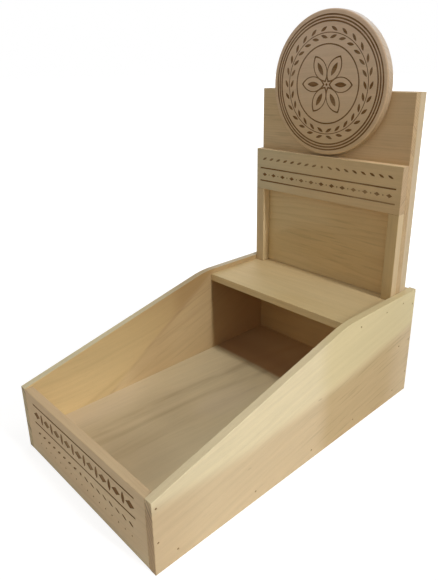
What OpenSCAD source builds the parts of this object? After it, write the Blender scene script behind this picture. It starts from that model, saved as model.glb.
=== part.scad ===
// Countertop bin display in plain unfinished wood.
// An open bin with sloping sides and a rear shelf carries a framed header with a round sign.
// The header's rear board drops into a pocket behind the shelf, so the header lifts out.
// X runs across, +Y towards the rear and +Z up. The origin is the middle of the footprint.

/* [Bin] */
// Outside width across both sides
bin_width = 254; // [200:1:320]
// Depth from the front face to the rear ends of the sides
bin_depth = 432; // [400:1:520]
// Height of the sides and the front panel at the front
front_height = 82; // [65:0.5:105]
// Height of the level rear stretch of the sides
rear_height = 151.5; // [135:0.5:200]
// How far the knee of the sides lies in front of the shelf
knee_lead = 11; // [2:0.5:30]
// Rounding of the knee
knee_radius = 130; // [20:5:200]
// Thickness of each side
side_thickness = 9.5; // [8:0.5:14]
// Thickness of the front panel
front_thickness = 9.5; // [8:0.5:14]
// Thickness of the floor board, which stands on the counter
floor_thickness = 25; // [16:0.5:32]
// Thickness of the back panel
back_thickness = 9.5; // [8:0.5:14]
// How far the top of the back panel lies below the top of the sides
back_drop = 1.5; // [0:0.5:6]
// Thickness of the wall between the bin and the header pocket
wall_thickness = 9.5; // [8:0.5:14]
// How much every long edge of a board is eased
edge_ease = 0.4; // [0.2:0.1:0.8]

/* [Shelf] */
// Depth of the shelf, front edge to rear edge
shelf_depth = 116.5; // [80:0.5:150]
// Thickness of the shelf
shelf_thickness = 10; // [8:0.5:14]
// How far the top of the shelf lies below the top of the sides
shelf_drop = 6.5; // [2:0.5:15]

/* [Header] */
// Height of the header above the shelf
header_height = 253; // [220:1:320]
// Thickness of the rear board, whose lower end is the tongue
tongue_thickness = 13; // [11:0.5:16]
// Height of the foot of the tongue above the floor board
tongue_rise = 8; // [3:0.5:50]
// Front-to-back play of the tongue in its pocket
pocket_play = 1.7; // [0.8:0.1:3]
// Thickness of the face board
face_thickness = 9.5; // [8:0.5:13]
// Thickness of the stiles and the rail
frame_thickness = 12.5; // [9:0.5:16]
// Width of each stile
stile_width = 14.3; // [12:0.1:24]
// Height of the rail
rail_height = 58; // [50:0.5:70]
// Bare stretch of the face board above the rail
head_room = 82.5; // [70:0.5:100]

/* [Round sign] */
// Diameter of the disc
disc_diameter = 174; // [150:0.5:190]
// Thickness of the disc
disc_thickness = 11.5; // [8:0.5:13]
// Gap between the disc and the top of the rail
disc_gap = 2.5; // [1:0.5:8]
// Rounding of both edges of the disc
disc_edge_radius = 2.4; // [0.5:0.1:3]
// Width between the two upper screws of the disc
disc_screw_width = 90; // [60:1:110]
// Upper disc screws below the top of the boards
disc_screw_drop = 22; // [15:1:30]
// Lower disc screw below the upper ones
disc_screw_fall = 32; // [20:1:40]

/* [Engraving] */
// Depth of every engraved line
engraving_depth = 0.5; // [0.3:0.1:0.8]
// Width of the engraved rules and of the rings near the rim
rule_width = 2; // [1:0.1:2.4]
// Rim of the disc to the middle of the outer ring
ring_inset = 6.6; // [5:0.1:9]
// Spacing of the rings near the rim
ring_pitch = 3.5; // [3:0.1:4]
// Number of rings near the rim
ring_count = 3; // [1:1:3]
// Width of the wreath's band, from the rings near the rim to the inner ring
wreath_band = 26; // [20:0.2:30]
// Width of the inner ring
inner_ring_width = 1.7; // [1:0.1:2.2]
// Leaf pairs in each half of the wreath
wreath_pairs = 13; // [6:1:14]
// Length of one wreath leaf
wreath_leaf_length = 10.5; // [7:0.5:12]
// Distance of each wreath leaf from the wreath's stem, at its middle
wreath_leaf_offset = 4.4; // [3.5:0.1:6]
// Gap between the inner ring and the tips of the compass-drawn petals
petal_gap = 8.4; // [3:0.2:14]
// Ends of the rules to the sides of the header and the bin's corners
rule_inset = 7; // [4:0.5:20]
// Length of one leaf in the rows on the rail
rail_leaf_length = 8.5; // [6:0.5:10]
// Upper rule below the top of the rail
rail_rule_drop = 27.3; // [24:0.1:30]
// Distance between the two rules on the rail
rail_rule_spacing = 18.3; // [16:0.1:20]
// Upper rule below the top of the front panel
front_rule_drop = 12; // [9:0.5:16]
// Distance between the two rules on the front panel
front_rule_spacing = 23.5; // [20:0.5:26]
// Ends of the front rules to the corners of the bin
front_rule_inset = 27; // [15:0.5:35]

/* [Fasteners] */
// Diameter of a brad
brad_diameter = 1.3; // [1:0.1:1.6]
// Diameter of a brad head
brad_head = 2.2; // [1.8:0.1:2.8]
// Thickness of a brad head
brad_head_thickness = 0.8; // [0.5:0.1:1.2]
// Depth of each brad head below the wood
brad_sink = 0.4; // [0.2:0.1:0.8]
// Length of the brads in the bin
brad_length = 25; // [20:1:32]
// Length of the brads driven into the frame from behind
frame_brad_length = 30; // [26:1:31]
// Diameter of a disc screw
screw_diameter = 3.5; // [3:0.1:4]
// Diameter of a disc screw's countersunk head
screw_head = 7; // [6:0.1:8]
// Length of a disc screw
screw_length = 28; // [25:0.5:28]

/* [Fits] */
// Gap between the header and each side
header_side_gap = 0.3; // [0.2:0.1:1]
// Gap under the feet of the header
header_seat_gap = 0.2; // [0.1:0.1:0.5]
// Gap between the tongue and the wall in front of it
tongue_gap = 0.3; // [0.2:0.1:0.6]
// Radial clearance of each brad in its hole
brad_clearance = 0.05; // [0.02:0.01:0.1]
// Radial clearance of each screw in its hole
screw_clearance = 0.1; // [0.05:0.01:0.2]

/* [Hidden] */
$fn = 96;

// Brads along each joint, as shares of its length
front_brad_shares = [0.43, 0.90];
floor_brad_shares = [0.04, 0.29, 0.515, 0.715, 0.94];
shelf_brad_shares = [0.14, 0.62, 0.955];
wall_brad_shares = [0.48];
back_brad_shares = [0.2, 0.53, 0.88];
stile_brad_shares = [0.2, 0.8];
rail_brad_shares = [0.08, 0.36, 0.64, 0.92];

// Places across the bin
inner_width = bin_width - 2 * side_thickness;
header_width = inner_width - 2 * header_side_gap;
stile_middle = header_width / 2 - stile_width / 2;

// Places from front to rear
front_y = -bin_depth / 2;
rear_y = bin_depth / 2;
back_front_y = rear_y - back_thickness;
wall_rear_y = back_front_y - pocket_play - tongue_thickness - tongue_gap;
wall_front_y = wall_rear_y - wall_thickness;
shelf_front_y = wall_rear_y - shelf_depth;
knee_y = shelf_front_y - knee_lead;
floor_front_y = front_y + front_thickness;
floor_length = back_front_y - floor_front_y;
tongue_front_y = wall_rear_y + tongue_gap;
tongue_rear_y = tongue_front_y + tongue_thickness;
face_front_y = tongue_front_y - face_thickness;
frame_front_y = face_front_y - frame_thickness;
disc_front_y = face_front_y - disc_thickness;

// Heights above the counter
shelf_top_z = rear_height - shelf_drop;
shelf_under_z = shelf_top_z - shelf_thickness;
header_foot_z = shelf_top_z + header_seat_gap;
header_top_z = shelf_top_z + header_height;
tongue_foot_z = floor_thickness + tongue_rise;
back_top_z = rear_height - back_drop;
rail_top_z = header_top_z - head_room;
rail_foot_z = rail_top_z - rail_height;
disc_radius = disc_diameter / 2;
disc_z = rail_top_z + disc_gap + disc_radius;

// How far a cutting solid runs past the face that it cuts
overcut = 1;
// Facets of the rounded knee
knee_steps = 8;

// Radii of the inner ring, of the wreath's stem in the middle of its band and of the petals' tips
last_ring_radius = disc_radius - ring_inset - (ring_count - 1) * ring_pitch;
inner_ring_radius = last_ring_radius - wreath_band;
wreath_radius = last_ring_radius - wreath_band / 2;
petal_tip_radius = inner_ring_radius - petal_gap;
// Lean of the wreath leaves away from their stem
wreath_leaf_lean = 24;
wreath_stem_width = 1;
// A leaf is this share of its length across
leaf_slimness = 0.34;
petal_line = 1.2;
petal_count = 6;
hub_radius = 3.2;

// Rows of motifs on the rail and the front panel
rail_leaf_count = 17;
rail_lozenge_count = 13;
front_row_count = 9;
small_leaf_count = 17;
small_leaf_length = 8;
small_row_drop = 12;
small_row_spacing = 14;
dot_radius = 0.9;
lozenge_slimness = 0.62;

screw_head_depth = (screw_head - screw_diameter) / 2;
screw_slot_length = 3.8;
screw_slot_width = 0.9;
screw_slot_depth = 1.1;

pine = "#d8c59a";
pale_pine = "#e2d3ab";
shaded_pine = "#b59a6c";
floor_pine = "#c3a878";
steel = "#8d8a84";

// Bar that eases one straight edge, laid along the edge from one corner to the next
module edge_bar(from, to) {
    run = to - from;
    translate([from[0], from[1], 0])
        rotate([0, 0, atan2(run[1], run[0])])
            translate([-edge_ease, 0, 0])
                rotate([45, 0, 0])
                    translate([0, -edge_ease / sqrt(2), -edge_ease / sqrt(2)])
                        cube([norm(run) + 2 * edge_ease, edge_ease * sqrt(2), edge_ease * sqrt(2)]);
}

// Board of a given outline and thickness, with the edges of both its faces eased
module board(outline, thickness) {
    last = len(outline) - 1;
    difference() {
        linear_extrude(thickness)
            polygon(outline);
        for (i = [0 : last])
            for (z = [0, thickness])
                translate([0, 0, z])
                    edge_bar(outline[i], outline[i == last ? 0 : i + 1]);
    }
}

function box_outline(x0, x1, y0, y1) = [[x0, y0], [x1, y0], [x1, y1], [x0, y1]];

// Board that faces front, from x0 to x1 and z0 to z1, with its front face at y
module upright_board(x0, x1, z0, z1, y, thickness) {
    translate([0, y + thickness, 0])
        rotate([90, 0, 0])
            board(box_outline(x0, x1, z0, z1), thickness);
}

// Cut into a front face at y, of a flat figure drawn in X and Z
module engrave(y) {
    translate([0, y + engraving_depth, 0])
        rotate([90, 0, 0])
            linear_extrude(engraving_depth + overcut)
                children();
}

// Brad with its head flush at the origin, driven along +X
module brad(length) {
    tip = brad_diameter;
    rotate([0, 90, 0]) {
        cylinder(h = brad_head_thickness, d = brad_head);
        cylinder(h = length - tip, d = brad_diameter);
        translate([0, 0, length - tip])
            cylinder(h = tip, d1 = brad_diameter, d2 = brad_diameter / 3);
    }
}

// Hole of such a brad, open to the face that the head is sunk below
module brad_hole(length) {
    rotate([0, 90, 0]) {
        translate([0, 0, -brad_sink - overcut])
            cylinder(h = brad_sink + overcut + brad_head_thickness, r = brad_head / 2 + brad_clearance);
        cylinder(h = length + brad_clearance, r = brad_diameter / 2 + brad_clearance);
    }
}

// Children at the same height and depth on both sides, driven inwards
module on_both_sides() {
    for (side = [0, 1])
        mirror([side, 0, 0])
            translate([-bin_width / 2 + brad_sink, 0, 0])
                children();
}

function along(from, to, share) = from + (to - from) * share;

module front_brad_places() {
    for (share = front_brad_shares)
        on_both_sides()
            translate([0, front_y + front_thickness / 2, front_height * share])
                children();
}

module floor_brad_places() {
    for (share = floor_brad_shares)
        on_both_sides()
            translate([0, along(floor_front_y, back_front_y, share), floor_thickness / 2])
                children();
}

module shelf_brad_places() {
    for (share = shelf_brad_shares)
        on_both_sides()
            translate([0, along(shelf_front_y, wall_rear_y, share), shelf_top_z - shelf_thickness / 2])
                children();
}

module wall_brad_places() {
    for (share = wall_brad_shares)
        on_both_sides()
            translate([0, wall_rear_y - wall_thickness / 2, along(floor_thickness, shelf_under_z, share)])
                children();
}

module back_brad_places() {
    for (share = back_brad_shares)
        on_both_sides()
            translate([0, rear_y - back_thickness / 2, back_top_z * share])
                children();
}

// Children driven forwards from the rear face of the tongue board
module from_behind(x, z, sink) {
    translate([x, tongue_rear_y - sink, z])
        rotate([0, 0, -90])
            children();
}

module stile_brad_places() {
    for (x = [-stile_middle, stile_middle])
        for (share = stile_brad_shares)
            from_behind(x, along(header_foot_z, rail_foot_z, share), brad_sink)
                children();
}

module rail_brad_places() {
    for (share = rail_brad_shares)
        from_behind(header_width * (share - 0.5), (rail_top_z + rail_foot_z) / 2, brad_sink)
            children();
}

module disc_screw_places() {
    upper_z = header_top_z - disc_screw_drop;
    for (x = [-disc_screw_width / 2, disc_screw_width / 2])
        from_behind(x, upper_z, 0)
            children();
    from_behind(0, upper_z - disc_screw_fall, 0)
        children();
}

// Side with its slope and rounded knee, its outer face at x = 0 and its thickness towards +X
module side_board() {
    slope = atan2(rear_height - front_height, knee_y - front_y);
    turn_y = knee_y + knee_radius * tan(slope / 2);
    turn_z = rear_height - knee_radius;
    knee = [
        for (i = [0 : knee_steps])
            [turn_y - knee_radius * sin(slope * i / knee_steps),
             turn_z + knee_radius * cos(slope * i / knee_steps)]
    ];
    outline = concat(
        [[front_y, 0], [rear_y, 0], [rear_y, rear_height]],
        knee,
        [[front_y, front_height]]
    );
    rotate([90, 0, 90])
        board(outline, side_thickness);
}

module side_brad_holes() {
    front_brad_places() brad_hole(brad_length);
    floor_brad_places() brad_hole(brad_length);
    shelf_brad_places() brad_hole(brad_length);
    wall_brad_places() brad_hole(brad_length);
    back_brad_places() brad_hole(brad_length);
}

module left_side() {
    color(pine)
        difference() {
            translate([-bin_width / 2, 0, 0])
                side_board();
            side_brad_holes();
        }
}

module right_side() {
    color(pale_pine)
        difference() {
            translate([bin_width / 2 - side_thickness, 0, 0])
                side_board();
            side_brad_holes();
        }
}

// Leaf between two arcs, pointing along X
module leaf(length, width) {
    sagitta = width / 2;
    radius = (pow(length / 2, 2) + pow(sagitta, 2)) / (2 * sagitta);
    intersection() {
        translate([0, radius - sagitta])
            circle(r = radius);
        translate([0, sagitta - radius])
            circle(r = radius);
    }
}

module lozenge(length) {
    half = length / 2;
    polygon([[-half, 0], [0, -half * lozenge_slimness], [half, 0], [0, half * lozenge_slimness]]);
}

// Line from -half to half in X at a height
module rule(half, height) {
    translate([-half, height - rule_width / 2])
        square([2 * half, rule_width]);
}

// Row of children with their middles spread evenly from -half to half at a height
module motif_row(count, half, height) {
    for (i = [0 : count - 1])
        translate([along(-half, half, i / (count - 1)), height])
            children();
}

// Row of leaves that all point at the middle of the row
module leaf_row(count, half, height, length) {
    middle = (count - 1) / 2;
    for (i = [0 : count - 1])
        if (i != middle)
            translate([along(-half, half, i / (count - 1)), height])
                rotate(i < middle ? wreath_leaf_lean : -wreath_leaf_lean)
                    leaf(length, length * leaf_slimness);
    translate([0, height])
        circle(r = dot_radius * 2);
}

module front_engraving() {
    half = bin_width / 2 - front_rule_inset;
    upper = front_height - front_rule_drop;
    lower = upper - front_rule_spacing;
    large = front_rule_spacing * lozenge_slimness;
    reach = half - large / 2;
    step = 2 * reach / (front_row_count - 1);
    rule(half, upper);
    rule(half, lower);
    motif_row(front_row_count, reach, (upper + lower) / 2)
        lozenge(large);
    motif_row(front_row_count - 1, reach - step / 2, (upper + lower) / 2)
        rotate(90)
            leaf(large, large * leaf_slimness);
    leaf_row(small_leaf_count, half - small_leaf_length, lower - small_row_drop, small_leaf_length);
    motif_row(small_leaf_count, half - small_leaf_length, lower - small_row_drop - small_row_spacing)
        circle(r = dot_radius);
}

module front_panel() {
    color(pine)
        difference() {
            upright_board(-inner_width / 2, inner_width / 2, 0, front_height, front_y, front_thickness);
            front_brad_places() brad_hole(brad_length);
            engrave(front_y) front_engraving();
        }
}

module floor_board() {
    color(floor_pine)
        difference() {
            board(box_outline(-inner_width / 2, inner_width / 2, floor_front_y, back_front_y), floor_thickness);
            floor_brad_places() brad_hole(brad_length);
        }
}

module inner_wall() {
    color(shaded_pine)
        difference() {
            upright_board(-inner_width / 2, inner_width / 2, floor_thickness, shelf_under_z,
                wall_front_y, wall_thickness);
            wall_brad_places() brad_hole(brad_length);
        }
}

module back_panel() {
    color(pine)
        difference() {
            upright_board(-inner_width / 2, inner_width / 2, 0, back_top_z, back_front_y, back_thickness);
            back_brad_places() brad_hole(brad_length);
        }
}

module shelf() {
    color(pine)
        difference() {
            translate([0, 0, shelf_under_z])
                board(box_outline(-inner_width / 2, inner_width / 2, shelf_front_y, wall_rear_y),
                    shelf_thickness);
            shelf_brad_places() brad_hole(brad_length);
        }
}

module front_brads() {
    color(steel)
        front_brad_places() brad(brad_length);
}

module floor_brads() {
    color(steel)
        floor_brad_places() brad(brad_length);
}

module shelf_brads() {
    color(steel)
        shelf_brad_places() brad(brad_length);
}

module wall_brads() {
    color(steel)
        wall_brad_places() brad(brad_length);
}

module back_brads() {
    color(steel)
        back_brad_places() brad(brad_length);
}

// Countersunk screw with its head flush at the origin, driven along +X
module screw() {
    rotate([0, 90, 0])
        difference() {
            union() {
                cylinder(h = screw_head_depth, d1 = screw_head, d2 = screw_diameter);
                translate([0, 0, screw_head_depth])
                    cylinder(h = screw_length - screw_head_depth - screw_diameter, d = screw_diameter);
                translate([0, 0, screw_length - screw_diameter])
                    cylinder(h = screw_diameter, d1 = screw_diameter, d2 = screw_diameter / 4);
            }
            for (turn = [0, 90])
                rotate([0, 0, turn])
                    translate([-screw_slot_length / 2, -screw_slot_width / 2, -overcut])
                        cube([screw_slot_length, screw_slot_width, screw_slot_depth + overcut]);
        }
}

module screw_hole() {
    wide = screw_head + 2 * screw_clearance;
    narrow = screw_diameter + 2 * screw_clearance;
    rotate([0, 90, 0]) {
        translate([0, 0, -overcut])
            cylinder(h = overcut, d = wide);
        cylinder(h = screw_head_depth, d1 = wide, d2 = narrow);
        cylinder(h = screw_length + screw_clearance, d = narrow);
    }
}

module header_holes() {
    stile_brad_places() brad_hole(frame_brad_length);
    rail_brad_places() brad_hole(frame_brad_length);
    disc_screw_places() screw_hole();
}

module tongue_board() {
    color(pine)
        difference() {
            upright_board(-header_width / 2, header_width / 2, tongue_foot_z, header_top_z,
                tongue_front_y, tongue_thickness);
            header_holes();
        }
}

module face_board() {
    color(shaded_pine)
        difference() {
            upright_board(-header_width / 2, header_width / 2, header_foot_z, header_top_z,
                face_front_y, face_thickness);
            header_holes();
        }
}

module stile_board(middle) {
    difference() {
        upright_board(middle - stile_width / 2, middle + stile_width / 2, header_foot_z, rail_foot_z,
            frame_front_y, frame_thickness);
        stile_brad_places() brad_hole(frame_brad_length);
    }
}

module left_stile() {
    color(pine)
        stile_board(-stile_middle);
}

module right_stile() {
    color(pine)
        stile_board(stile_middle);
}

module rail_engraving() {
    half = header_width / 2 - rule_inset;
    upper = rail_top_z - rail_rule_drop;
    lower = upper - rail_rule_spacing;
    reach = half - rail_leaf_length;
    step = 2 * reach / (rail_lozenge_count - 1);
    rule(half, upper);
    rule(half, lower);
    leaf_row(rail_leaf_count, reach, (rail_top_z + upper) / 2, rail_leaf_length);
    motif_row(rail_lozenge_count, reach, (upper + lower) / 2)
        lozenge(rail_leaf_length);
    motif_row(rail_lozenge_count - 1, reach - step / 2, (upper + lower) / 2)
        circle(r = dot_radius);
}

module rail() {
    color(pine)
        difference() {
            upright_board(-header_width / 2, header_width / 2, rail_foot_z, rail_top_z,
                frame_front_y, frame_thickness);
            rail_brad_places() brad_hole(frame_brad_length);
            engrave(frame_front_y) rail_engraving();
        }
}

module ring(radius, width) {
    difference() {
        circle(r = radius + width / 2);
        circle(r = radius - width / 2);
    }
}

// Wreath of two halves that rise from the bottom, with paired leaves that lean away from a fine stem
module wreath() {
    ring(wreath_radius, wreath_stem_width);
    for (half = [0, 1])
        mirror([half, 0])
            for (i = [0 : wreath_pairs - 1])
                rotate(180 * (i + 0.5) / wreath_pairs - 90)
                    for (side = [-1, 1])
                        translate([wreath_radius + side * wreath_leaf_offset, 0])
                            rotate(90 - side * wreath_leaf_lean)
                                leaf(wreath_leaf_length, wreath_leaf_length * leaf_slimness);
}

// Flower of petals struck with a compass, each an outline round a slimmer leaf
module compass_flower() {
    length = petal_tip_radius - hub_radius;
    width = 2 * length * tan(90 / petal_count);
    for (i = [0 : petal_count - 1])
        rotate(360 * i / petal_count)
            translate([hub_radius + length / 2, 0]) {
                difference() {
                    leaf(length, width);
                    leaf(length - 4 * petal_line, width - 2 * petal_line);
                }
                leaf(length / 2, length / 2 * leaf_slimness);
            }
    circle(r = hub_radius / 2);
}

module disc_engraving() {
    for (i = [0 : ring_count - 1])
        ring(disc_radius - ring_inset - i * ring_pitch, rule_width);
    ring(inner_ring_radius, inner_ring_width);
    wreath();
    compass_flower();
}

// Outline of half the disc, with both its edges rounded
module disc_profile() {
    turn = disc_radius - disc_edge_radius;
    steps = 8;
    rear_arc = [
        for (i = [0 : steps])
            [turn + disc_edge_radius * sin(90 * i / steps),
             disc_edge_radius - disc_edge_radius * cos(90 * i / steps)]
    ];
    front_arc = [
        for (i = [0 : steps])
            [turn + disc_edge_radius * cos(90 * i / steps),
             disc_thickness - disc_edge_radius + disc_edge_radius * sin(90 * i / steps)]
    ];
    polygon(concat([[0, 0]], rear_arc, front_arc, [[0, disc_thickness]]));
}

module disc() {
    color(pine)
        difference() {
            translate([0, face_front_y, disc_z])
                rotate([90, 0, 0])
                    rotate_extrude($fn = 180)
                        disc_profile();
            translate([0, 0, disc_z])
                engrave(disc_front_y) disc_engraving();
            disc_screw_places() screw_hole();
        }
}

module stile_brads() {
    color(steel)
        stile_brad_places() brad(frame_brad_length);
}

module rail_brads() {
    color(steel)
        rail_brad_places() brad(frame_brad_length);
}

module disc_screws() {
    color(steel)
        disc_screw_places() screw();
}

left_side();
right_side();
front_panel();
floor_board();
inner_wall();
back_panel();
shelf();
front_brads();
floor_brads();
shelf_brads();
wall_brads();
back_brads();
tongue_board();
face_board();
left_stile();
right_stile();
rail();
disc();
stile_brads();
rail_brads();
disc_screws();
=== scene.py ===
import math

import bpy
from mathutils import Matrix, Vector


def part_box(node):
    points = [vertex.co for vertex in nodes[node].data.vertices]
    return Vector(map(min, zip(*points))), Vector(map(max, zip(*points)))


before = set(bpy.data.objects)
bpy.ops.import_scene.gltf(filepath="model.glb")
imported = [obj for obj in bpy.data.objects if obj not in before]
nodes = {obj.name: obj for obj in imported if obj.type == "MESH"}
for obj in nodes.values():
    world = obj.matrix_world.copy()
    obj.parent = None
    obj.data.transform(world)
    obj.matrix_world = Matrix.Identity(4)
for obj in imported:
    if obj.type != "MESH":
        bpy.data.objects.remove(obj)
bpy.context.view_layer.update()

MM = 0.001
WHITE = (1.0, 1.0, 1.0, 1.0)

# Noises of the woods: features per millimetre along the grain and across it, what is added to
# the board's seed, detail and roughness
NOISES = {
    "slow": (0.0045, 0.016, 0, 1.0, 0.5),
    "quick": (0.013, 0.07, 5, 2.0, 0.5),
    "uneven": (0.11, 1.0, 11, 2.0, 0.5),
    "strength": (0.73, 1.0, 17, 0.0, 0.5),
    "fade": (0.008, 0.02, 19, 1.0, 0.5),
    "fibre": (0.03, 0.9, 23, 3.0, 0.6),
    "band": (0.006, 0.16, 29, 2.0, 0.5),
    "patch": (0.006, 0.014, 31, 2.0, 0.5),
    "pores": (0.11, 2.3, 37, 1.0, 0.5),
    "end_dots": (0.4, 1.6, 41, 2.0, 0.7),
    "char": (0.12, 1.1, 43, 3.0, 0.6),
    "dash": (0.018, 0.34, 47, 1.0, 0.5),
    "scorch": (0.012, 0.03, 53, 2.0, 0.5),
    "streak": (0.012, 0.06, 0, 2.0, 0.5),
}

# Levels of a noise between which what it makes comes up
LEVELS = {
    "fade": (0.25, 0.65),
    "patch": (0.3, 0.7),
    "pores": (0.6, 0.76),
    "dash": (0.54, 0.72),
    "streak": (0.25, 0.6),
    "char": (0.32, 0.68),
    "scorch": (0.3, 0.6),
}

# By what share each lightens or darkens a wood
TONES = {"fibre": 0.06, "band": 0.10, "patch": 0.09, "pores": 0.09, "end_dots": 0.2}

# How far the grain sways for each millimetre of wobble
SLOW_SWAY = 4
QUICK_SWAY = 0.8

# Darkness of a year ring from the early wood to the late wood, how many rings their spacing
# wanders by, how much they differ in strength, and how faint they get where they fade
RING = ((0.0, 0.0), (0.35, 0.12), (0.72, 0.5), (0.9, 1.0), (1.0, 0.0))
RING_WANDER = 2.2
RING_SWING = 0.8
RING_FAINT = 0.45

# What a seed moves a noise by, as factors for the three axes
SEED_MOVES = (1.0, 1.7, -0.6)

# Surface of a wood: the height of its fibres, rings and pores as shares of its relief, its
# roughness, and how much rougher its fibres and a burn make it
FIBRE_HEIGHT = 0.6
RING_HEIGHT = 0.4
PORE_HEIGHT = -0.6
WOOD_RELIEF = 0.12 * MM
WOOD_ROUGHNESS = 0.52
ROUGHER = 0.2
WOOD_SPECULAR = 0.3
BUMP_STRENGTH = 0.6

# Steel: features per millimetre of its blotches and scratches, the levels of its blotches, by
# what share the scratches change its colour, and how much rougher the blotches make it
BLOTCHES = (0.6, 0.6, 0.6)
SCRATCHES = (0.8, 6.0, 6.0)
BLOTCH_LEVELS = (0.35, 0.65)
SCRATCH_TONE = 0.15
BLOTCH_ROUGHER = 0.3
STEEL_RELIEF = 0.02 * MM
STEEL_SPECULAR = 0.5
STEEL_METALLIC = 0.9

# How far a surface looks along the grain where it starts to count as end grain and where it
# counts in full, and how far through the board for a sawn edge and for one of the two faces
END_FACING = (0.55, 0.8)
EDGE_FACING = (0.7, 0.4)
SIDE_FACING = (0.3, 0.7)

# Brightness of the end grain between its rings
END_TONE = 0.9

# Places ahead of every board, for dashes that are as strong all along it
ALL_ALONG = (-999, -998)

# A spot's tint where none is given, and the share of its radius that is at full strength
SPOT = (112, 84, 56)
SPOT_CORE = 0.35

# How far in mm a browner stretch fades to each side of the place that it keeps below
BELOW_FADE = 10

# Engraving in mm: its depth, the eased edges that it keeps clear of, how deep the burn starts and
# is at its full strength, how far it reaches under the engraving's floor, and how it fades
DEPTH = 0.5
EDGE = 1.2
BURN_START = (0.06, 0.24)
BURN_END = (0.15, 0.1)
BURN_FADE = 0.1
SOOT = ((104, 72, 35), (138, 98, 55))


def linear(colour):
    """Linear RGBA of an sRGB colour written as 0 to 255."""
    out = []
    for value in colour:
        c = value / 255
        out.append(c / 12.92 if c <= 0.04045 else ((c + 0.055) / 1.055) ** 2.4)
    return (*out, 1.0)


class Graph:
    """The nodes of a material or of the world, with short calls for those in use here."""

    def __init__(self, owner, output="ShaderNodeOutputMaterial"):
        owner.use_nodes = True
        self.owner = owner
        self.tree = owner.node_tree
        self.tree.nodes.clear()
        self.output = self.node(output)

    def put(self, socket, value):
        """Links an output to a socket, or sets a plain value on it."""
        if isinstance(value, bpy.types.NodeSocket):
            self.tree.links.new(value, socket)
        elif value is not None:
            socket.default_value = value

    def node(self, kind, *values, **settings):
        """New node with its settings, and with values for its sockets from the first on."""
        made = self.tree.nodes.new(kind)
        for key, value in settings.items():
            setattr(made, key, value)
        for socket, value in zip(made.inputs, values):
            self.put(socket, value)
        return made

    def math(self, operation, a, b=None, c=None, clamp=False):
        made = self.node("ShaderNodeMath", a, b, c, operation=operation, use_clamp=clamp)
        return made.outputs[0]

    def vector(self, operation, a, b=None):
        made = self.node("ShaderNodeVectorMath", a, b, operation=operation)
        return made.outputs[1 if operation == "LENGTH" else 0]

    def scale(self, vector, factor):
        """A vector or a colour times a number."""
        made = self.node("ShaderNodeVectorMath", vector, operation="SCALE")
        self.put(made.inputs["Scale"], factor)
        return made.outputs[0]

    def combine(self, x, y, z):
        return self.node("ShaderNodeCombineXYZ", x, y, z).outputs[0]

    def separate(self, vector):
        return self.node("ShaderNodeSeparateXYZ", vector).outputs[:3]

    def place(self):
        """Place on the object in millimetres, and the way that the surface looks."""
        coordinates = self.node("ShaderNodeTexCoord").outputs
        return self.scale(coordinates["Object"], 1 / MM), coordinates["Normal"]

    def noise(self, place, stretch, seed, detail=2.0, roughness=0.5):
        """Noise over a place in millimetres, stretched by features per millimetre."""
        moved = self.vector("MULTIPLY", place, stretch)
        moved = self.vector("ADD", moved, tuple(seed * move for move in SEED_MOVES))
        made = self.node("ShaderNodeTexNoise", noise_dimensions="3D")
        self.put(made.inputs["Vector"], moved)
        self.put(made.inputs["Scale"], 1.0)
        self.put(made.inputs["Detail"], detail)
        self.put(made.inputs["Roughness"], roughness)
        return made.outputs

    def step(self, value, low, high, to_low=0.0, to_high=1.0):
        """Smooth step between two places, which falls where the first is the higher."""
        made = self.node("ShaderNodeMapRange", value, low, high, to_low, to_high,
                         interpolation_type="SMOOTHSTEP", clamp=True)
        return made.outputs[0]

    def slide(self, value, low, high):
        """Straight slope from 0 to 1 between two places."""
        made = self.node("ShaderNodeMapRange", value, low, high,
                         interpolation_type="LINEAR", clamp=True)
        return made.outputs[0]

    def swing(self, value, amount):
        """From noise about a half to a factor about one, by plus or minus the amount."""
        return self.math("MULTIPLY_ADD", value, 2 * amount, 1 - amount)

    def ramp(self, value, stops):
        """Level that runs through the stops, each a place and the level there."""
        made = self.node("ShaderNodeValToRGB", value)
        elements = made.color_ramp.elements
        while len(elements) < len(stops):
            elements.new(0.5)
        for element, (place, level) in zip(elements, stops):
            element.position = place
            element.color = (level, level, level, 1)
        return made.outputs[0]

    def mix(self, factor, a, b):
        """Colour between two others. Their sockets come after those for numbers and vectors."""
        made = self.node("ShaderNodeMix", factor, data_type="RGBA")
        self.put(made.inputs[6], a)
        self.put(made.inputs[7], b)
        return made.outputs[2]

    def backdrop_rays(self):
        """Kinds of rays, and 1 for those that show the white backdrop."""
        path = self.node("ShaderNodeLightPath").outputs
        rays = self.math("MAXIMUM", path["Is Camera Ray"], path["Is Glossy Ray"])
        return path, self.math("MAXIMUM", rays, path["Is Transmission Ray"])

    def blend(self, share, first, second):
        """Shaders blended, and put to the output."""
        made = self.node("ShaderNodeMixShader", share, first.outputs[0], second.outputs[0])
        self.put(self.output.inputs[0], made.outputs[0])

    def finish(self, colour, roughness, height, relief, specular, metallic=0.0):
        """Shader with a bump of the relief's height. Gives the material."""
        shader = self.node("ShaderNodeBsdfPrincipled")
        self.put(shader.inputs["Base Color"], colour)
        self.put(shader.inputs["Roughness"], roughness)
        self.put(shader.inputs["Metallic"], metallic)
        self.put(shader.inputs["Specular IOR Level"], specular)
        bump = self.node("ShaderNodeBump")
        self.put(bump.inputs["Strength"], BUMP_STRENGTH)
        self.put(bump.inputs["Distance"], relief)
        self.put(bump.inputs["Height"], height)
        self.put(shader.inputs["Normal"], bump.outputs[0])
        self.put(self.output.inputs[0], shader.outputs[0])
        return self.owner


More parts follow.
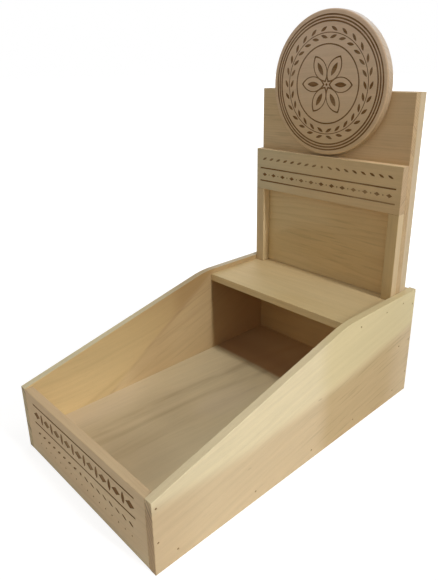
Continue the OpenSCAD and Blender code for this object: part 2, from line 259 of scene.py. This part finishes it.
def wood(name, grain, across, *, pale, deep, late, pith, tilt=(0.0, 0.0), bend=0.0, spacing=4.0,
         contrast=0.08, split=None, streaks=(), dashes=(0.05, *ALL_ALONG), wobble=3.0, seed=0.0,
         burn=None, spots=(), browning_and_painted_shade=(), painted_light_and_tone_gradients=(), edges=None, ends=(1.0, 0.90, 0.80),
         end_rings=0.5, fine=1.0):
    """A board cut out of a solid log, with all lengths in millimetres.

    grain and across name the axes along the grain and across the board's face. pith is where the
    log's middle lies across and through the board. tilt is how far it leans, and bend how far it
    curves, per millimetre of length. spacing is the width of a year ring, and contrast how much
    of the late wood's colour its dark line takes. wobble is how far the grain sways.

    split gives the line between the pale sapwood and the deep heartwood below it, as the three
    terms of a curve along the grain and the width that it fades over. Without it the two lie in
    patches. Each of the streaks has such a curve, its half width and its strength. dashes are the
    short dark lines of the heartwood: their strength, and two places that they come up between.

    aged gives the stretches over which the wood turns browner, some as its own tone and some as
    painted shade, and spots its small spots. Each of the gradients says whether it is for the
    faces, the edges or all, and gives a direction, two places in it and what the colour is
    multiplied by at each; most of them paint light and shade. edges and ends are what the colours
    of the sawn edges and of the end grain are multiplied by, which on some boards holds painted
    highlight and shade as well as their own tone, and end_rings is how dark the rings are on the
    end grain. fine is how strong the fibres, bands and pores are. burn says where the engraving
    is, and seed tells the boards' noises apart."""
    g = Graph(bpy.data.materials.new(name))
    place, normal = g.place()
    axes = dict(zip("xyz", g.separate(place)))
    facing = dict(zip("xyz", g.separate(normal)))
    through = ({"x", "y", "z"} - {grain, across}).pop()
    along = axes[grain]

    def texture(kind, over, more=0.0, output="Fac"):
        lengthwise, crosswise, offset, detail, roughness = NOISES[kind]
        stretched = (lengthwise, crosswise, crosswise)
        return g.noise(over, stretched, seed + offset + more, detail, roughness)[output]

    def curve(terms):
        """Curve along the grain, from its three terms."""
        rise = g.math("MULTIPLY_ADD", along, terms[2], terms[1])
        return g.math("MULTIPLY_ADD", along, rise, terms[0])

    board = g.combine(along, axes[across], axes[through])
    slow = g.separate(texture("slow", board, output="Color"))
    quick = g.separate(texture("quick", board, output="Color"))

    def sway(i):
        middle = -(SLOW_SWAY + QUICK_SWAY) / 2 * wobble
        small = g.math("MULTIPLY_ADD", quick[i], QUICK_SWAY * wobble, middle)
        return g.math("MULTIPLY_ADD", slow[i], SLOW_SWAY * wobble, small)

    swayed = g.math("ADD", axes[across], sway(0))
    from_pith = g.math("SUBTRACT", swayed, curve((pith[0], tilt[0], bend)))
    behind = g.math("ADD", axes[through], sway(1))
    behind = g.math("SUBTRACT", behind, curve((pith[1], tilt[1], 0.0)))
    radius = g.vector("LENGTH", g.combine(from_pith, behind, 0.0))
    log = g.combine(along, from_pith, behind)

    # Year rings
    uneven = texture("uneven", g.combine(radius, 0.0, 0.0))
    turns = g.math("MULTIPLY_ADD", uneven, RING_WANDER, g.math("DIVIDE", radius, spacing))
    ring = g.ramp(g.math("FRACT", turns), RING)
    strength = texture("strength", g.combine(g.math("FLOOR", turns), 0.0, 0.0))
    ring = g.math("MULTIPLY", ring, g.swing(strength, RING_SWING))
    fade = g.step(texture("fade", log), *LEVELS["fade"], RING_FAINT, 1.0)
    ring = g.math("MULTIPLY", ring, fade)

    fibre = texture("fibre", log)
    band = texture("band", log)
    patch = texture("patch", log)
    pores = g.step(texture("pores", log), *LEVELS["pores"])
    dash = g.step(texture("dash", log), *LEVELS["dash"])

    # Colours of the heartwood, the sapwood and the late wood
    if split is not None:
        *terms, width = split
        below = g.math("SUBTRACT", curve(terms), swayed)
        inside = g.step(below, -width, width)
    else:
        inside = g.step(patch, *LEVELS["patch"])
    colour = g.mix(inside, linear(pale), linear(deep))
    colour = g.mix(g.math("MULTIPLY", ring, contrast, clamp=True), colour, linear(late))
    for *terms, half, share in streaks:
        off = g.math("ABSOLUTE", g.math("SUBTRACT", swayed, curve(terms)))
        stain_and_shade = g.step(off, half, 0.0)
        broken = g.step(texture("streak", log, more=terms[0]), *LEVELS["streak"])
        stain_and_shade = g.math("MULTIPLY", stain_and_shade, broken)
        colour = g.mix(g.math("MULTIPLY", stain_and_shade, share), colour, linear(late))

    # Fine grain
    tone = g.math("MULTIPLY", g.swing(fibre, TONES["fibre"] * fine),
                  g.swing(band, TONES["band"] * fine))
    tone = g.math("MULTIPLY", tone, g.swing(patch, TONES["patch"]))
    tone = g.math("MULTIPLY", tone, g.math("MULTIPLY_ADD", pores, -TONES["pores"] * fine, 1.0))
    share, *places = dashes
    dash = g.math("MULTIPLY", dash, g.math("MULTIPLY", inside, g.step(along, *places)))
    tone = g.math("MULTIPLY", tone, g.math("MULTIPLY_ADD", dash, -share, 1.0))
    colour = g.scale(colour, tone)

    # Browner stretches, some the wood's own tone and some painted shade
    for part in browning_and_painted_shade:
        reached = g.math("SUBTRACT", patch, 0.5)
        reached = g.math("MULTIPLY_ADD", reached, part["cloud"], along)
        stain_and_shade = g.step(reached, *part["up"])
        if part["down"]:
            stain_and_shade = g.math("MULTIPLY", stain_and_shade, g.step(reached, *reversed(part["down"])))
        if part["below"]:
            low, high = part["below"] - BELOW_FADE, part["below"] + BELOW_FADE
            stain_and_shade = g.math("MULTIPLY", stain_and_shade, g.step(swayed, high, low))
        if part["side"]:
            turned = [part["side"] * level for level in SIDE_FACING]
            stain_and_shade = g.math("MULTIPLY", stain_and_shade, g.step(facing[through], *turned))
        share = g.math("MULTIPLY_ADD", inside, part["deep"] - part["pale"], part["pale"])
        colour = g.mix(g.math("MULTIPLY", stain_and_shade, share), colour, linear(part["colour"] or late))

    # End grain, sawn edges and gradients, the gradients and some edges holding painted light and
    # shade
    end = g.step(g.math("ABSOLUTE", facing[grain]), *END_FACING)
    end_tone = g.math("MULTIPLY", g.swing(texture("end_dots", log), TONES["end_dots"]),
                      g.math("MULTIPLY_ADD", ring, -end_rings, END_TONE))
    colour = g.mix(end, colour, g.vector("MULTIPLY", g.scale(colour, end_tone), ends))
    edge = g.step(g.math("ABSOLUTE", facing[through]), *EDGE_FACING)
    for where, direction, low, high, at_low, at_high in painted_light_and_tone_gradients:
        share = g.slide(along if direction == "along" else swayed, low, high)
        factor = g.mix(share, (*at_low, 1.0), (*at_high, 1.0))
        if where == "faces":
            factor = g.mix(edge, factor, WHITE)
        elif where == "edges":
            factor = g.mix(edge, WHITE, factor)
        colour = g.vector("MULTIPLY", colour, factor)
    if edges is not None:
        colour = g.vector("MULTIPLY", colour, g.mix(edge, WHITE, (*edges, 1.0)))

    for middle, scale, share, tint in spots:
        away = g.vector("MULTIPLY", g.vector("SUBTRACT", place, middle), scale)
        stain_and_shade = g.step(g.vector("LENGTH", away), 1.0, SPOT_CORE, 0.0, share)
        colour = g.mix(stain_and_shade, colour, linear(tint))

    height = g.math("MULTIPLY_ADD", fibre, FIBRE_HEIGHT, g.math("MULTIPLY", ring, RING_HEIGHT))
    height = g.math("MULTIPLY_ADD", pores, PORE_HEIGHT, height)
    roughness = g.math("MULTIPLY_ADD", fibre, ROUGHER, WOOD_ROUGHNESS)

    if burn is not None:
        mask = burnt(g, axes, burn)
        char = g.step(texture("char", log), *LEVELS["char"])
        soot = g.mix(char, linear(SOOT[0]), linear(SOOT[1]))
        scorch = g.step(texture("scorch", log), *LEVELS["scorch"], burn["least"], 1.0)
        colour = g.mix(g.math("MULTIPLY", mask, scorch), colour, soot)
        roughness = g.math("MULTIPLY_ADD", mask, ROUGHER, roughness)
    return g.finish(colour, roughness, height, WOOD_RELIEF, WOOD_SPECULAR)


def stretch(up, deep, pale=None, down=None, below=None, side=0, colour=None, cloud=60.0):
    """Stretch along the grain over which a wood turns browner, in some boards as its own tone and
    in others as painted shade.

    It comes up between two places and may go down between two others, and may keep below a place
    across the grain, and to the one face that looks to the side. deep and pale are its strengths
    in the heartwood and the sapwood, and cloud is how far its ends wander. Its colour is the late
    wood's if none is given."""
    pale = deep if pale is None else pale
    return dict(up=up, deep=deep, pale=pale, down=down, below=below, side=side, colour=colour,
                cloud=cloud)


def spot(middle, scale, share, tint=SPOT):
    """Spot of a tint about a place, with one over its radius along each axis, and its strength."""
    return middle, scale, share, tint


def burnt(g, axes, burn):
    """Where a board's face is engraved: below its front face, and clear of its eased edges."""
    depth = g.math("SUBTRACT", axes["y"], burn["face"])
    mask = g.step(depth, *BURN_START)
    mask = g.math("MULTIPLY", mask, g.step(depth, *(DEPTH + under for under in BURN_END)))
    raised = g.math("SUBTRACT", axes["z"], burn["middle"])
    if "radius" in burn:
        away = g.vector("LENGTH", g.combine(axes["x"], raised, 0.0))
        return g.math("MULTIPLY", mask, g.step(away, burn["radius"], burn["radius"] - BURN_FADE))
    away = g.math("ABSOLUTE", axes["x"])
    mask = g.math("MULTIPLY", mask, g.step(away, burn["half"], burn["half"] - BURN_FADE))
    away = g.math("ABSOLUTE", raised)
    return g.math("MULTIPLY", mask, g.step(away, burn["tall"], burn["tall"] - BURN_FADE))


def engraved(node, least, disc=False):
    """Place of a board's engraving in mm, and how strong the burn is where it is the faintest.

    It is the place of the front face, the height of its middle, and the radius of a disc or half
    the width and height of a board, all clear of the eased edges."""
    low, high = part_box(node)
    tall = (high.z - low.z) / 2 / MM
    burn = {"face": low.y / MM, "middle": (high.z + low.z) / 2 / MM, "least": least}
    if disc:
        return {**burn, "radius": tall - 2 * EDGE}
    return {**burn, "half": (high.x - low.x) / 2 / MM - EDGE, "tall": tall - EDGE}


def steel(name, bright, dull, roughness, seed):
    """Bare steel with dull blotches and fine scratches."""
    g = Graph(bpy.data.materials.new(name))
    place, _ = g.place()
    blotch = g.noise(place, BLOTCHES, seed, 3.0, 0.6)["Fac"]
    scratch = g.noise(place, SCRATCHES, seed + 3)["Fac"]
    colour = g.mix(g.step(blotch, *BLOTCH_LEVELS), linear(bright), linear(dull))
    colour = g.scale(colour, g.swing(scratch, SCRATCH_TONE))
    rough = g.math("MULTIPLY_ADD", blotch, BLOTCH_ROUGHER, roughness)
    return g.finish(colour, rough, scratch, STEEL_RELIEF, STEEL_SPECULAR, STEEL_METALLIC)


def dress(node, material):
    slots = nodes[node].data.materials
    slots.clear()
    slots.append(material)


# Woods, one for each board
WOODS = {
    "right_side": dict(
        grain="y", across="z", pale=(225, 209, 171), deep=(211, 188, 150), late=(172, 138, 98),
        pith=(20, -10), tilt=(0.165, 0.0), spacing=4.0, contrast=0.05,
        # Its dashes come up from y -40 to 60 and darken the rear heartwood, partly as painted
        # shadow.
        split=(74.0, 0.07, 0.0003, 9.0), dashes=(0.20, -40, 60), wobble=3.2, seed=3,
        edges=(0.93, 0.91, 0.88),
        # The first two stretches paint the shadow over the rear of the board as a browner
        # heartwood and a greener sapwood; the last makes the front end browner.
        browning_and_painted_shade=(
            stretch((10, 45), 0.42, 0.12, down=(150, 215), colour=(170, 138, 78), cloud=30.0),
            stretch((10, 45), 0.0, 0.35, colour=(215, 198, 140), cloud=30.0),
            stretch((-150, -215), 0.20, 0.05),
        ),
        spots=(
            spot((127, 18, 75), (0.3, 0.2, 0.7), 0.25),
            spot((127, -96, 47), (0.3, 0.25, 0.8), 0.18),
        ),
    ),
    "left_side": dict(
        grain="y", across="z", pale=(212, 185, 134), deep=(213, 187, 141), late=(160, 126, 84),
        pith=(-60, -250), tilt=(0.28, 0.0), bend=0.0008, spacing=6.0, contrast=0.06,
        split=(97.0, 0.67, 0.0, 5.0),
        streaks=(
            (95.0, 0.67, 0.0, 5.0, 0.30),
            (76.0, 0.36, 0.0, 5.0, 0.18),
            (60.0, 0.42, 0.0, 3.0, 0.14),
        ),
        # Its sawn edges are cooler, partly as painted light.
        dashes=(0.10, -80, 20), wobble=2.6, seed=9, edges=(0.93, 1.08, 1.38),
        # The first stretch darkens the wood toward the rear as painted shade, the second browns
        # the heartwood between about y -95 and 20, the third paints the shadow on the rear of the
        # sapwood, and the last paints the shade under the shelf on the inner face.
        browning_and_painted_shade=(
            stretch((-130, 60), 0.30, 0.42),
            stretch((-95, -55), 0.24, 0.0, down=(-30, 20), cloud=20.0),
            stretch((-5, 25), 0.0, 0.29, colour=(152, 114, 62), cloud=20.0),
            stretch((72, 84), 0.6, below=136, side=1, colour=(193, 152, 107), cloud=6.0),
        ),
        # Painted light and shade: the faces are lighter near the floor and darker toward the top
        # edge.
        painted_light_and_tone_gradients=(("faces", "across", 30, 130, (1.08, 1.10, 1.13), (0.83, 0.80, 0.76)),),
        spots=(
            spot((-122, -59.8, 124.6), (0.25, 0.5, 0.5), 0.8),
            spot((-122, -178, 95), (0.3, 0.5, 0.5), 0.5),
        ),
    ),
    "front_panel": dict(
        grain="x", across="z", pale=(212, 187, 147), deep=(204, 175, 135), late=(164, 130, 92),
        pith=(30, -160), tilt=(0.03, 0.0), spacing=4.5, contrast=0.09, seed=14,
        edges=(0.91, 0.92, 0.92),
        # Painted light: its faces turn paler and cooler toward the bottom edge, against the shade
        # near the floor.
        painted_light_and_tone_gradients=(("faces", "across", 2, 14, (1.06, 1.15, 1.22), (1.0, 1.0, 1.0)),),
        burn=engraved("front_panel", 0.75),
    ),
    "floor_board": dict(
        grain="y", across="x", pale=(226, 209, 174), deep=(203, 182, 147), late=(140, 110, 78),
        pith=(-150, -80), tilt=(0.05, 0.02), spacing=8.0, contrast=0.05, wobble=5.0, seed=21,
        # Painted light: the pale sapwood side lies toward the right wall, against that wall's
        # shadow.
        fine=0.6, split=(40.0, 0.0, 0.0, 50.0),
        streaks=(
            (-55.5, 0.06, 0.0005, 13.0, 0.36),
            (-22.0, 0.10, 0.0, 9.0, 0.24),
            (4.0, 0.05, 0.0, 8.0, 0.12),
        ),
        # Painted shade: the floor turns dark brown from the shelf's front edge back, where the
        # shelf shades it.
        browning_and_painted_shade=(
            stretch((81, 88), 0.8, colour=(180, 137, 92), cloud=6.0),
            stretch((80, 86), 0.6, down=(105, 150), colour=(152, 109, 74), cloud=6.0),
        ),
        # Painted light: the faces are lighter toward the rear and toward the left wall.
        painted_light_and_tone_gradients=(
            ("faces", "along", -160, 60, (0.95, 0.94, 0.90), (1.13, 1.18, 1.17)),
            ("faces", "across", -110, -20, (1.03, 1.06, 1.09), (1.02, 1.03, 1.02)),
        ),
        spots=(
            spot((-112, -135, 25), (0.020, 0.009, 0.05), 0.20, (240, 222, 200)),
            spot((-2, -10, 25), (0.03, 0.016, 0.05), 0.14, (240, 222, 200)),
            spot((10, -160, 25), (0.016, 0.016, 0.05), 0.10),
            spot((-50, -70, 25), (0.022, 0.02, 0.05), 0.10),
            spot((-50, 55, 25), (0.03, 0.04, 0.05), 0.06),
        ),
    ),
    # Painted shade: the inner wall's colours are browner and redder to stand for the shade under
    # the shelf.
    "inner_wall": dict(
        grain="x", across="z", pale=(202, 166, 111), deep=(190, 151, 97), late=(152, 114, 72),
        pith=(60, -120), spacing=4.5, contrast=0.08, seed=27,
    ),
    "back_panel": dict(
        grain="x", across="z", pale=(214, 189, 149), deep=(202, 173, 131), late=(162, 128, 88),
        pith=(76, -110), tilt=(0.04, 0.02), spacing=5.0, contrast=0.13, seed=33,
    ),
    "shelf": dict(
        grain="x", across="y", pale=(208, 187, 143), deep=(201, 177, 131), late=(172, 142, 100),
        pith=(90, -140), tilt=(0.02, 0.03), spacing=4.5, contrast=0.07, seed=39,
        # Painted light: its sawn edges are lighter, and its faces lighter toward the rear and the
        # left end and warmer at the front.
        edges=(1.16, 1.14, 1.10),
        painted_light_and_tone_gradients=(
            ("faces", "across", 80, 165, (0.98, 0.97, 0.92), (1.05, 1.04, 1.03)),
            ("faces", "along", -110, 0, (1.05, 1.05, 1.05), (1.0, 1.0, 1.0)),
        ),
    ),
    "tongue_board": dict(
        grain="z", across="x", pale=(213, 193, 161), deep=(205, 183, 148), late=(166, 134, 96),
        pith=(20, 320), tilt=(0.04, 0.03), spacing=5.0, contrast=0.13, seed=45,
    ),
    "face_board": dict(
        grain="x", across="z", pale=(210, 181, 135), deep=(203, 171, 122), late=(160, 122, 78),
        pith=(190, 40), tilt=(0.0, 0.02), spacing=2.6, contrast=0.19,
        dashes=(0.16, *ALL_ALONG), wobble=1.6, seed=51, edges=(0.96, 1.02, 1.10),
        # Painted light: its ends, on the header's lit right side, are lighter, and its faces are
        # yellower low in the recess, as light thrown up from the shelf. Its faces are also cooler
        # toward the left end and warmer toward the right.
        ends=(1.08, 1.01, 1.0), end_rings=0.25,
        painted_light_and_tone_gradients=(
            ("faces", "along", -112, 112, (1.03, 1.08, 1.16), (0.95, 0.91, 0.90)),
            ("faces", "across", 240, 300, (1.01, 1.02, 0.92), (1.0, 1.0, 1.02)),
        ),
    ),
    "left_stile": dict(
        grain="z", across="x", pale=(209, 184, 140), deep=(201, 174, 130), late=(158, 124, 84),
        pith=(-60, 110), spacing=3.0, contrast=0.09, wobble=1.2, seed=57,
        # Its sawn faces are a little lighter. Painted light: from 160 to 190 mm up they turn
        # lighter and cooler still, where the rail and the right stile shade its inner face.
        edges=(1.05, 1.07, 1.04),
        painted_light_and_tone_gradients=(("edges", "along", 160, 190, (0.92, 0.95, 1.0), (1.20, 1.27, 1.45)),),
    ),
    "right_stile": dict(
        grain="z", across="x", pale=(200, 171, 120), deep=(192, 161, 111), late=(158, 124, 84),
        pith=(160, 110), spacing=3.0, contrast=0.09, wobble=1.2, seed=63,
        # Painted light: its sawn faces, the lit right side among them, are lighter and cooler.
        edges=(1.16, 1.26, 1.60),
    ),
    "rail": dict(
        grain="x", across="z", pale=(206, 177, 130), deep=(198, 166, 119), late=(162, 128, 88),
        pith=(340, 120), tilt=(0.02, 0.0), spacing=3.5, contrast=0.08, wobble=1.6, seed=69,
        # Painted highlight: its sawn edges, the top edge among them, are lighter and cooler. Its
        # end grain is darker, partly as painted shade. Its front is cooler toward the left end.
        edges=(1.32, 1.40, 1.62), ends=(0.78, 0.735, 0.72), end_rings=0.2,
        painted_light_and_tone_gradients=(("faces", "along", -110, 20, (0.97, 1.09, 1.24), (1.0, 1.0, 1.0)),),
        burn=engraved("rail", 0.5),
    ),
    "disc": dict(
        grain="x", across="z", pale=(219, 188, 150), deep=(211, 178, 139), late=(174, 138, 98),
        pith=(330, 110), tilt=(0.05, 0.0), spacing=4.5, contrast=0.08, seed=75,
        # Painted highlight: its rim is lighter and cooler. Painted light and shade: the whole disc
        # is darker toward the bottom and lighter and cooler toward the top, and the rim darker
        # still low down.
        edges=(1.07, 1.33, 1.75), end_rings=0.15,
        painted_light_and_tone_gradients=(
            ("all", "across", 332, 489, (0.84, 0.81, 0.70), (1.07, 1.12, 1.31)),
            ("edges", "across", 350, 440, (0.72, 0.61, 0.45), (1.0, 1.0, 1.0)),
        ),
        burn=engraved("disc", 0.8, disc=True),
    ),
}

for node, settings in WOODS.items():
    dress(node, wood(f"wood_{node}", **settings))

brad_steel = steel("brad_steel", (166, 138, 100), (132, 104, 70), 0.5, 4.0)
screw_steel = steel("screw_steel", (196, 192, 180), (168, 160, 144), 0.3, 8.0)
for held in ("front", "floor", "shelf", "wall", "back", "stile", "rail"):
    dress(f"{held}_brads", brad_steel)
dress("disc_screws", screw_steel)


# Floor: its size, its colour, how far from the middle it starts to melt into the backdrop and
# where it is all backdrop, the share of glow in it near the object, and how much brighter than
# white its glow is to the camera
FLOOR_SIZE = 40
FLOOR_COLOUR = (0.86, 0.85, 0.83, 1.0)
FLOOR_FADE = (0.30, 0.9)
FLOOR_GLOW = 0.67
CAMERA_GLOW = 0.27


def pale_floor():
    """White floor that keeps a soft shadow near the object and meets the white backdrop unseen.

    Its glow is seen by the camera and in mirrored and transmitted light alone, and makes up to
    the camera for the diffuse share near the object."""
    g = Graph(bpy.data.materials.new("pale_floor"))
    path, rays = g.backdrop_rays()
    diffuse = g.node("ShaderNodeBsdfDiffuse", FLOOR_COLOUR)
    glow = g.node("ShaderNodeEmission")
    bright = g.math("MULTIPLY_ADD", path["Is Camera Ray"], CAMERA_GLOW, 1.0)
    g.put(glow.inputs["Strength"], bright)
    coordinates = g.node("ShaderNodeTexCoord").outputs
    far = g.step(g.vector("LENGTH", coordinates["Object"]), *FLOOR_FADE, FLOOR_GLOW, 1.0)
    g.blend(g.math("MULTIPLY", rays, far), diffuse, glow)
    return g.owner


bpy.ops.mesh.primitive_plane_add(size=FLOOR_SIZE, location=(0, 0, 0))
floor = bpy.context.object
floor.name = "studio_floor"
floor.data.materials.append(pale_floor())

# World: white where it is seen, and an even light on the object
AMBIENT = 0.325
AMBIENT_COLOUR = (1.0, 0.99, 0.97, 1.0)

world = bpy.data.worlds.new("studio")
bpy.context.scene.world = world
studio = Graph(world, "ShaderNodeOutputWorld")
light = studio.node("ShaderNodeBackground", AMBIENT_COLOUR, AMBIENT)
seen = studio.node("ShaderNodeBackground", WHITE, 1.0)
studio.blend(studio.backdrop_rays()[1], light, seen)


def softbox(name, place, aim, wide, tall, level, spread):
    """Lamp with a grid that keeps its light within the spread, in degrees.

    A surface at the aim that faces the lamp is lit to the level, as a share of its own colour."""
    away = Vector(place) - Vector(aim)
    half = math.radians(spread) / 2
    data = bpy.data.lights.new(name, "AREA")
    data.shape = "RECTANGLE"
    data.size = wide
    data.size_y = tall
    data.spread = 2 * half
    data.energy = level * math.pi ** 2 * away.length ** 2 * (1 - half / math.tan(half))
    lamp = bpy.data.objects.new(name, data)
    lamp.location = place
    lamp.rotation_mode = "QUATERNION"
    lamp.rotation_quaternion = away.to_track_quat("Z", "Y")
    bpy.context.scene.collection.objects.link(lamp)


# Lamps: name, place, aim, width, height, level and spread
softbox("side", (2.12, 0.085, 1.35), (0.0, -0.25, 0.10), 0.12, 1.3, 0.75, 44)
softbox("upper", (1.0, 0.085, 2.2), (0.0, -0.12, 0.12), 0.12, 1.2, 0.27, 60)
softbox("header", (1.7, 0.24, 0.75), (0.1, 0.20, 0.33), 0.4, 0.4, 0.21, 24)
softbox("front", (-0.45, -1.5, 0.75), (0.0, -0.15, 0.05), 0.9, 0.9, 0.11, 60)
softbox("rear", (-1.2, 1.5, 1.1), (0.0, 0.0, 0.2), 0.9, 0.9, 0.16, 60)

# Camera: the photograph's longer side, its focal length and how far the middle of its view lies
# off the picture's, all in pixels, then its place, its direction and its roll
IMAGE_LONG = 580.0
FOCAL_PX = 544.4
OFF_RIGHT_PX = 7.5
OFF_UP_PX = 22.3
PLACE = (0.4356, -0.4159, 0.4293)
AZIMUTH = math.radians(46.68)
ELEVATION = math.radians(20.42)
ROLL = math.radians(-0.65)

data = bpy.data.cameras.new("camera")
data.sensor_width = 36.0
data.lens = FOCAL_PX / IMAGE_LONG * data.sensor_width
data.shift_x = -OFF_RIGHT_PX / IMAGE_LONG
data.shift_y = -OFF_UP_PX / IMAGE_LONG
data.clip_start = 0.01
data.clip_end = 100.0
camera = bpy.data.objects.new("camera", data)
bpy.context.scene.collection.objects.link(camera)
bpy.context.scene.camera = camera
ahead = Vector((
    -math.sin(AZIMUTH) * math.cos(ELEVATION),
    math.cos(AZIMUTH) * math.cos(ELEVATION),
    -math.sin(ELEVATION),
))
level_right = Vector((math.cos(AZIMUTH), math.sin(AZIMUTH), 0.0))
level_up = level_right.cross(ahead)
right = level_right * math.cos(ROLL) + level_up * math.sin(ROLL)
up = level_up * math.cos(ROLL) - level_right * math.sin(ROLL)
turned = Matrix((right, up, -ahead)).transposed().to_4x4()
camera.matrix_world = Matrix.Translation(PLACE) @ turned

bpy.context.scene.view_settings.view_transform = "Standard"
